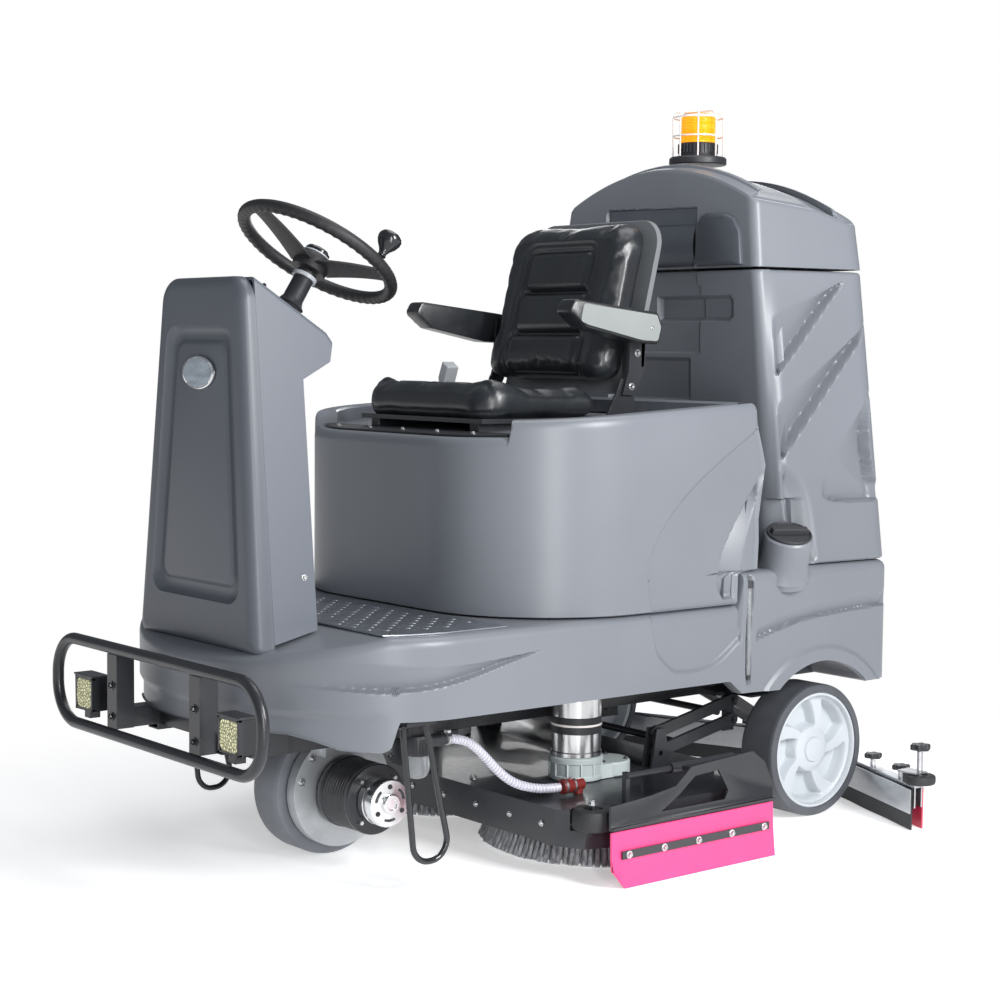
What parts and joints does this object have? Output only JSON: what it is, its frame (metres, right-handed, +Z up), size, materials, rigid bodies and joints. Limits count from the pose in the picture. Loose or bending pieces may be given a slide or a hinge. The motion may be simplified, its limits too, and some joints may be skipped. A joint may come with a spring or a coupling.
{
  "type": "ride on floor scrubber",
  "caption": "Ride-on floor scrubber with a grey moulded body, steering pod, seat, rear tank with beacon, disc brush deck, side guards and V squeegee.",
  "frame": {"origin": "on the floor under the middle of the machine's box", "axes": "+Z up, front of the machine towards -Y, driver's left towards +X"},
  "size_m": [1.36, 1.8299, 1.612],
  "materials": {
    "body_plastic": "rotomoulded grey, fine texture",
    "cover_plastic": "moulded grey, satin",
    "black_steel": "satin black powder coat",
    "black_plastic": "moulded black",
    "bright_steel": "zinc plated",
    "tread_metal": "chequered",
    "cast_metal": "sand cast",
    "motor_steel": "bright can",
    "grey_gearbox": "light grey enamel",
    "vinyl": "black grained vinyl",
    "grip_black": "soft grip",
    "tyre_grey": "grey polyurethane",
    "rim_white": "light grey moulding",
    "pink_rubber": "pink blade rubber",
    "black_rubber": "moulded bumper roller",
    "bristle": "nylon bristles",
    "squeegee_alu": "extruded",
    "amber": "clear amber",
    "clear_hose": "clear PVC with a spiral",
    "filter_black": "black head, clear bowl",
    "fitting_red": "red brown coupling",
    "red_button": "signal red",
    "battery_case": "black cases",
    "lamp_black": "black anodised housing with LED face"
  },
  "bodies": {
    "chassis": {"chassis_frame": "black_steel", "lower_body": "body_plastic", "floor_plate": "tread_metal", "column_shell": "cover_plastic", "front_cover": "cover_plastic", "dash_panel": "black_plastic", "steering_column": "black_plastic", "bumper_bar": "black_steel", "work_lights": "lamp_black", "step_loop": "black_steel", "solution_filter": "filter_black", "solution_hose": "clear_hose", "battery_pack": "battery_case", "recovery_tank": "body_plastic", "vacuum_motor": "motor_steel", "sight_tube": "clear_hose"},
    "lid": {"tank_lid": "body_plastic", "beacon_base": "black_plastic", "beacon_lens": "amber"},
    "filler_cap": {"filler_cap": "black_plastic"},
    "hood": {"seat_hood": "body_plastic"},
    "seat": {"seat_pan": "black_steel", "seat_cushion": "vinyl", "belt_buckle": "cover_plastic"},
    "backrest": {"backrest_shell": "cover_plastic", "backrest_cushion": "vinyl"},
    "armrest_left": {"armrest_left": "black_plastic"},
    "armrest_right": {"armrest_right": "black_plastic"},
    "steering_wheel": {"steering_wheel": "grip_black"},
    "horn_cap": {"horn_cap": "black_plastic"},
    "spinner_knob": {"spinner_knob": "black_plastic"},
    "accelerator_pedal": {"accelerator_pedal": "black_steel"},
    "emergency_stop": {"emergency_stop": "red_button"},
    "key_switch": {"key_switch": "bright_steel"},
    "drive_unit": {"steer_fork": "cast_metal", "drive_motor": "black_steel"},
    "drive_wheel": {"drive_wheel": "tyre_grey"},
    "rear_wheel_left": {"rear_wheel_left": "rim_white"},
    "rear_wheel_right": {"rear_wheel_right": "rim_white"},
    "upper_links": {"upper_links": "bright_steel"},
    "lower_links": {"lower_links": "bright_steel"},
    "deck": {"deck_plate": "black_steel", "brush_drives": "grey_gearbox", "hose_fitting": "fitting_red"},
    "brush_left": {"brush_left": "bristle"},
    "brush_right": {"brush_right": "bristle"},
    "deck_roller_left": {"deck_roller_left": "black_rubber"},
    "deck_roller_right": {"deck_roller_right": "black_rubber"},
    "guard_left": {"guard_bracket_left": "black_steel", "guard_blade_left": "pink_rubber"},
    "guard_right": {"guard_bracket_right": "black_steel", "guard_blade_right": "pink_rubber"},
    "squeegee": {"squeegee_arm": "black_steel", "squeegee_channel": "squeegee_alu", "squeegee_blades": "pink_rubber", "squeegee_star_nuts": "black_plastic"},
    "squeegee_roller_left": {"squeegee_roller_left": "black_rubber"},
    "squeegee_roller_right": {"squeegee_roller_right": "black_rubber"},
    "squeegee_knob_left": {"squeegee_knob_left": "black_plastic"},
    "squeegee_knob_right": {"squeegee_knob_right": "black_plastic"}
  },
  "joints": [
    {"name": "lid_hinge", "type": "hinge", "parent": "chassis", "child": "lid", "pos_m": [0, 0.757, 1.232], "axis": [-1, 0, 0], "range_deg": [0, 75]},
    {"name": "filler_cap_turn", "type": "hinge", "parent": "chassis", "child": "filler_cap", "pos_m": [0.464, 0.401, 0.65], "axis": [0.3498, -0.1858, 0.9182], "continuous": true},
    {"name": "hood_hinge", "type": "hinge", "parent": "chassis", "child": "hood", "pos_m": [-0.468, 0, 0.52], "axis": [0, -1, 0], "range_deg": [0, 60]},
    {"name": "seat_slide", "type": "slide", "parent": "hood", "child": "seat", "axis": [0, 1, 0], "range_m": [-0.12, 0.03]},
    {"name": "backrest_recline", "type": "hinge", "parent": "seat", "child": "backrest", "pos_m": [0, 0.13, 0.965], "axis": [-1, 0, 0], "range_deg": [-4, 12]},
    {"name": "armrest_left_lift", "type": "hinge", "parent": "backrest", "child": "armrest_left", "pos_m": [0.25, 0.158, 1.092], "axis": [-1, 0, 0], "range_deg": [0, 95]},
    {"name": "armrest_right_lift", "type": "hinge", "parent": "backrest", "child": "armrest_right", "pos_m": [-0.25, 0.158, 1.092], "axis": [-1, 0, 0], "range_deg": [0, 95]},
    {"name": "steer_turn", "type": "hinge", "parent": "chassis", "child": "drive_unit", "pos_m": [0, -0.506, 0.35], "axis": [0, 0, 1], "range_deg": [-50, 50]},
    {"name": "drive_wheel_spin", "type": "hinge", "parent": "drive_unit", "child": "drive_wheel", "pos_m": [0, -0.506, 0.142], "axis": [1, 0, 0], "continuous": true},
    {"name": "steering_wheel_turn", "type": "hinge", "parent": "chassis", "child": "steering_wheel", "pos_m": [0, -0.519, 1.238], "axis": [0, 0.5299, 0.848], "range_deg": [-250, 250]},
    {"name": "horn_press", "type": "slide", "parent": "steering_wheel", "child": "horn_cap", "axis": [0, -0.5299, -0.848], "range_m": [0, 0.003], "stiffness_N_per_m": 400, "springref_m": -0.0005},
    {"name": "spinner_knob_spin", "type": "hinge", "parent": "steering_wheel", "child": "spinner_knob", "pos_m": [0.16034, -0.48256, 1.21523], "axis": [0, 0.5299, 0.848], "continuous": true},
    {"name": "pedal_press", "type": "hinge", "parent": "chassis", "child": "accelerator_pedal", "pos_m": [-0.125, -0.6, 0.516], "axis": [-1, 0, 0], "range_deg": [0, 12], "stiffness_Nm_per_rad": 3, "springref_deg": -5.73},
    {"name": "emergency_stop_press", "type": "slide", "parent": "chassis", "child": "emergency_stop", "axis": [0, -0.5519, -0.8339], "range_m": [0, 0.004]},
    {"name": "key_turn", "type": "hinge", "parent": "chassis", "child": "key_switch", "pos_m": [0.07, -0.707, 1.1436], "axis": [0, 0.5519, 0.8339], "range_deg": [0, 90]},
    {"name": "rear_wheel_left_spin", "type": "hinge", "parent": "chassis", "child": "rear_wheel_left", "pos_m": [0.37, 0.554, 0.15], "axis": [1, 0, 0], "continuous": true},
    {"name": "rear_wheel_right_spin", "type": "hinge", "parent": "chassis", "child": "rear_wheel_right", "pos_m": [-0.37, 0.554, 0.15], "axis": [1, 0, 0], "continuous": true},
    {"name": "deck_lift", "type": "hinge", "parent": "chassis", "child": "upper_links", "pos_m": [0, 0.412, 0.262], "axis": [-1, 0, 0], "range_deg": [0, 17], "deforming": ["solution_hose"]},
    {"name": "lower_link_swing", "type": "hinge", "parent": "chassis", "child": "lower_links", "pos_m": [0, 0.412, 0.218], "axis": [-1, 0, 0], "range_deg": [0, 17]},
    {"name": "deck_level", "type": "hinge", "parent": "upper_links", "child": "deck", "pos_m": [0, 0.177, 0.214], "axis": [-1, 0, 0], "range_deg": [-17, 0]},
    {"name": "brush_left_spin", "type": "hinge", "parent": "deck", "child": "brush_left", "pos_m": [0.275, 0.04, 0.1], "axis": [0, 0, 1], "continuous": true},
    {"name": "brush_right_spin", "type": "hinge", "parent": "deck", "child": "brush_right", "pos_m": [-0.275, 0.04, 0.1], "axis": [0, 0, 1], "continuous": true},
    {"name": "deck_roller_left_spin", "type": "hinge", "parent": "deck", "child": "deck_roller_left", "pos_m": [0.525, -0.217, 0.124], "axis": [0, 0, 1], "continuous": true},
    {"name": "deck_roller_right_spin", "type": "hinge", "parent": "deck", "child": "deck_roller_right", "pos_m": [-0.525, -0.217, 0.124], "axis": [0, 0, 1], "continuous": true},
    {"name": "guard_left_swing", "type": "hinge", "parent": "deck", "child": "guard_left", "pos_m": [0.548, 0.02, 0.205], "axis": [0, -1, 0], "range_deg": [0, 60]},
    {"name": "guard_right_swing", "type": "hinge", "parent": "deck", "child": "guard_right", "pos_m": [-0.548, 0.02, 0.205], "axis": [0, 1, 0], "range_deg": [0, 60]},
    {"name": "squeegee_lift", "type": "hinge", "parent": "chassis", "child": "squeegee", "pos_m": [0, 0.56, 0.262], "axis": [1, 0, 0], "range_deg": [0, 18]},
    {"name": "squeegee_roller_left_spin", "type": "hinge", "parent": "squeegee", "child": "squeegee_roller_left", "pos_m": [0.645, 0.64, 0.112], "axis": [0, 0, 1], "continuous": true},
    {"name": "squeegee_roller_right_spin", "type": "hinge", "parent": "squeegee", "child": "squeegee_roller_right", "pos_m": [-0.645, 0.64, 0.112], "axis": [0, 0, 1], "continuous": true},
    {"name": "squeegee_knob_left_turn", "type": "hinge", "parent": "squeegee", "child": "squeegee_knob_left", "pos_m": [0.645, 0.64, 0.16], "axis": [0, 0, 1], "continuous": true},
    {"name": "squeegee_knob_right_turn", "type": "hinge", "parent": "squeegee", "child": "squeegee_knob_right", "pos_m": [-0.645, 0.64, 0.16], "axis": [0, 0, 1], "continuous": true}
  ],
  "couplings": [
    {"joint": "steering_wheel_turn", "follows": "steer_turn", "ratio": 5},
    {"joint": "deck_level", "follows": "deck_lift", "ratio": -1},
    {"joint": "lower_link_swing", "follows": "deck_lift", "ratio": 1}
  ]
}
